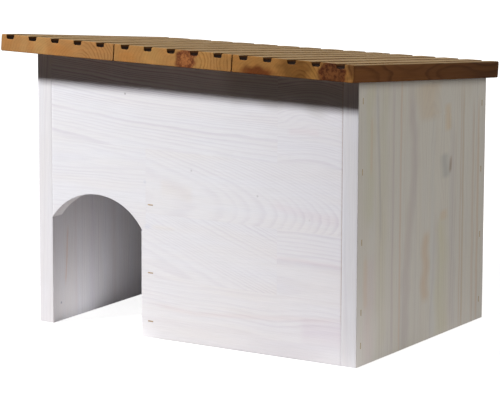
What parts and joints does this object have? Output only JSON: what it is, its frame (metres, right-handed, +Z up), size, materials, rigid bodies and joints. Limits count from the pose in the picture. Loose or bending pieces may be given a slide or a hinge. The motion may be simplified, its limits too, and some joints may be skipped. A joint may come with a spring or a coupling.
{
  "type": "hedgehog house",
  "caption": "Garden shelter for a hedgehog: glazed pine box with an arched corner entrance, a low inner partition, no floor, and a sloping roof of grooved boards.",
  "frame": {"origin": "centre of the part's bounding box in plan, at ground level", "axes": "+X to the right seen from the front, along the entrance side; +Y from the entrance side to the back; +Z up"},
  "size_m": [0.4374, 0.3188, 0.3192],
  "materials": {
    "glazed_pine": "thin lilac-white glaze over pine, matt",
    "bare_pine": "sawn pine, bare",
    "oiled_larch": "oiled and a little weathered",
    "staple_wire": "coated wire, tarnished brown"
  },
  "bodies": {
    "root": {"left_wall": "glazed_pine", "right_wall": "glazed_pine", "front_wall": "glazed_pine", "back_wall": "glazed_pine", "partition": "glazed_pine", "roof_board_left": "oiled_larch", "roof_board_middle": "oiled_larch", "roof_board_right": "oiled_larch", "roof_batten_front": "bare_pine", "roof_batten_back": "bare_pine", "staples_right_front": "staple_wire", "staples_right_back": "staple_wire", "staples_left_front": "staple_wire", "staples_left_back": "staple_wire", "staples_partition": "staple_wire"}
  },
  "joints": []
}
